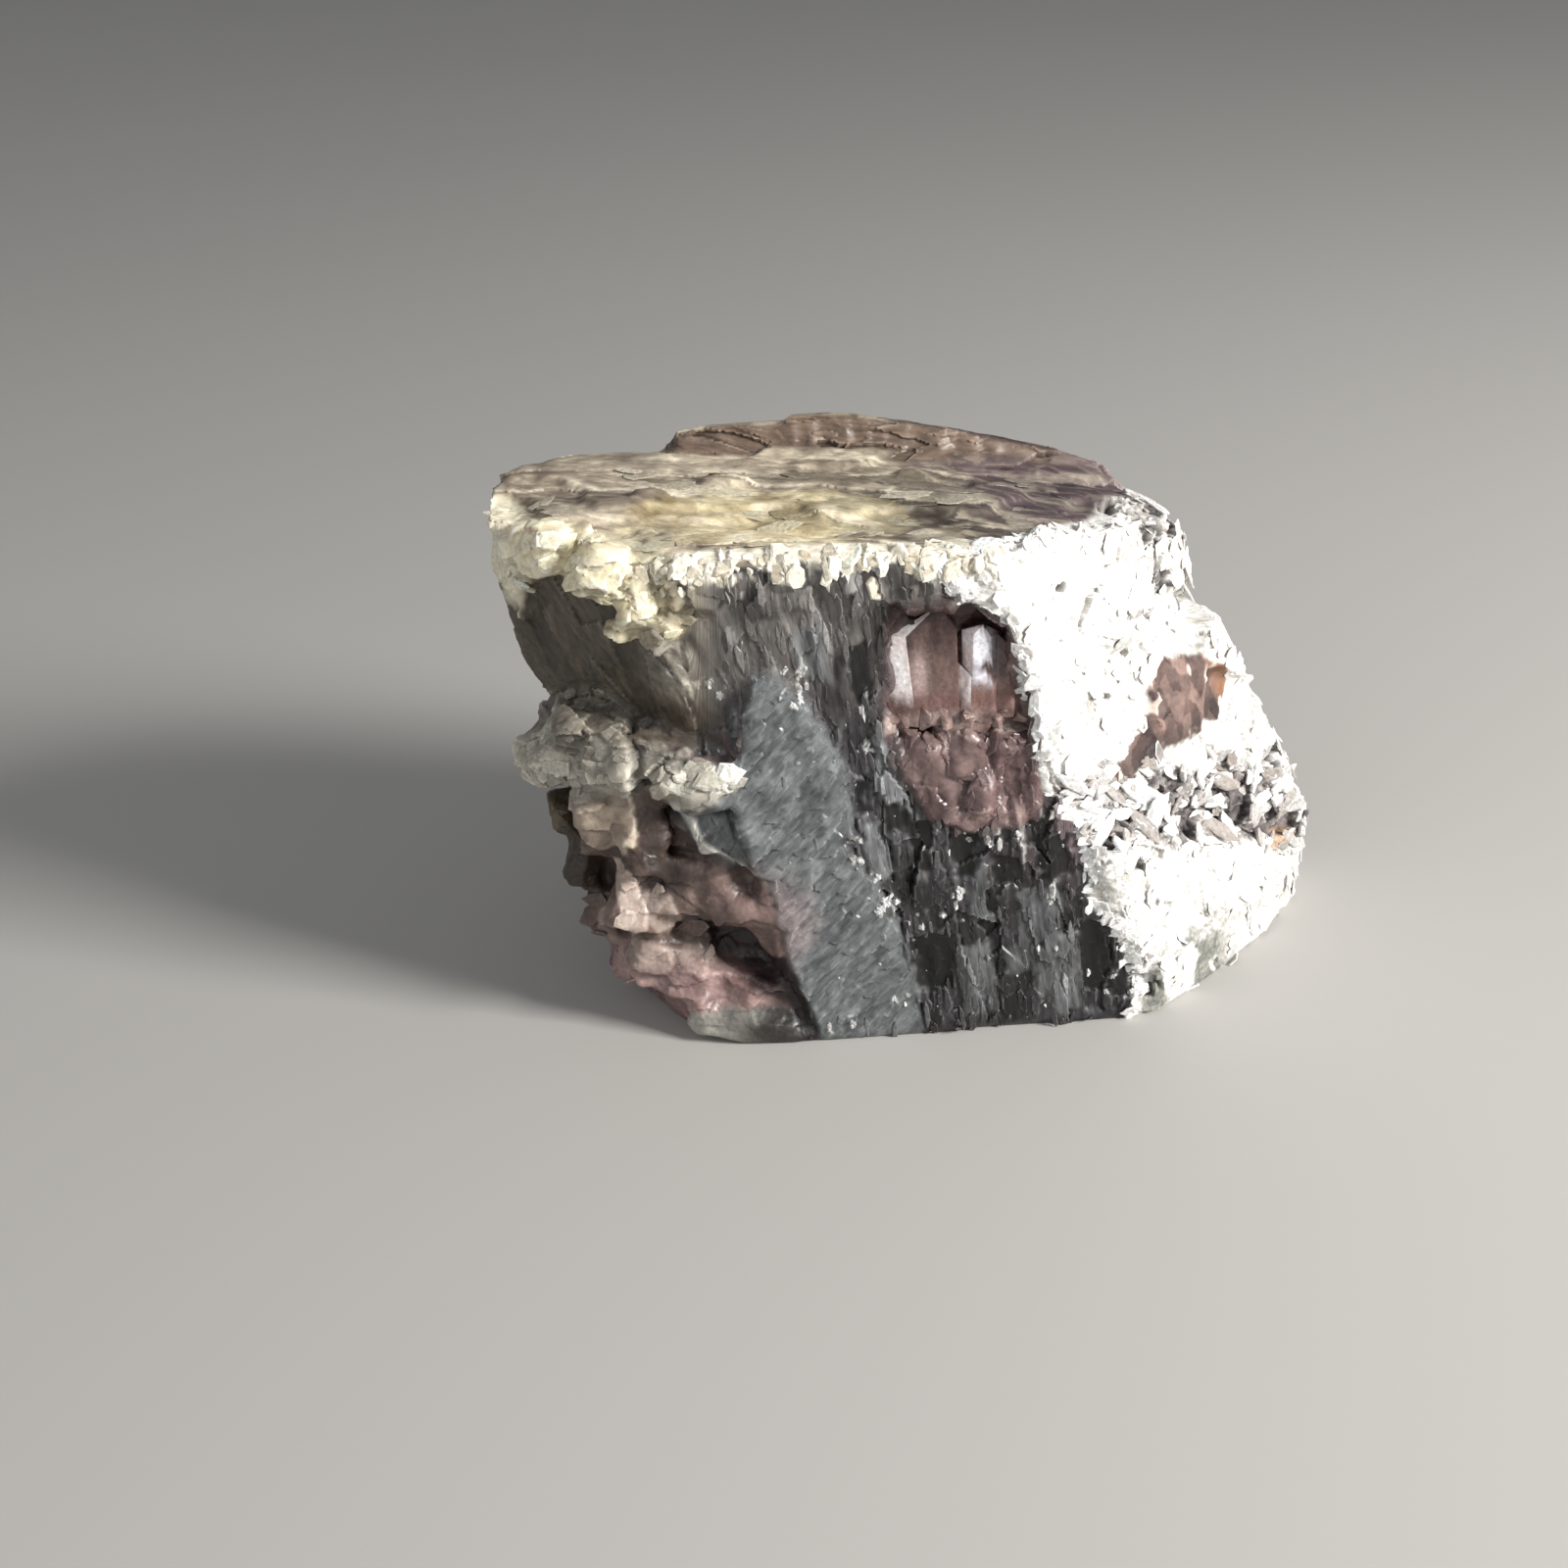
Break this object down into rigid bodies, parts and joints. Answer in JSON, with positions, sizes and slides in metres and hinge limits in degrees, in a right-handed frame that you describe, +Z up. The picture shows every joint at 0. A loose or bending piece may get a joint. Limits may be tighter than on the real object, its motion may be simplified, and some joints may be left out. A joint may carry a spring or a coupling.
{
  "type": "raw lepidolite stone",
  "caption": "Raw hand-sized lump of purple-grey lepidolite mica with a terraced top, upright blades in front and a crumbly white side; a display mineral that stands on its own flat foot.",
  "frame": {"origin": "middle of the bounding box, on the flat underside that the stone rests on", "axes": "+X along the longest side, towards the crumbly white face; -Y out of the bladed front; +Z up"},
  "size_m": [0.1208, 0.0706, 0.0801],
  "materials": {
    "mica": "pearly, broken"
  },
  "bodies": {
    "root": {"lepidolite": "mica"}
  },
  "joints": []
}
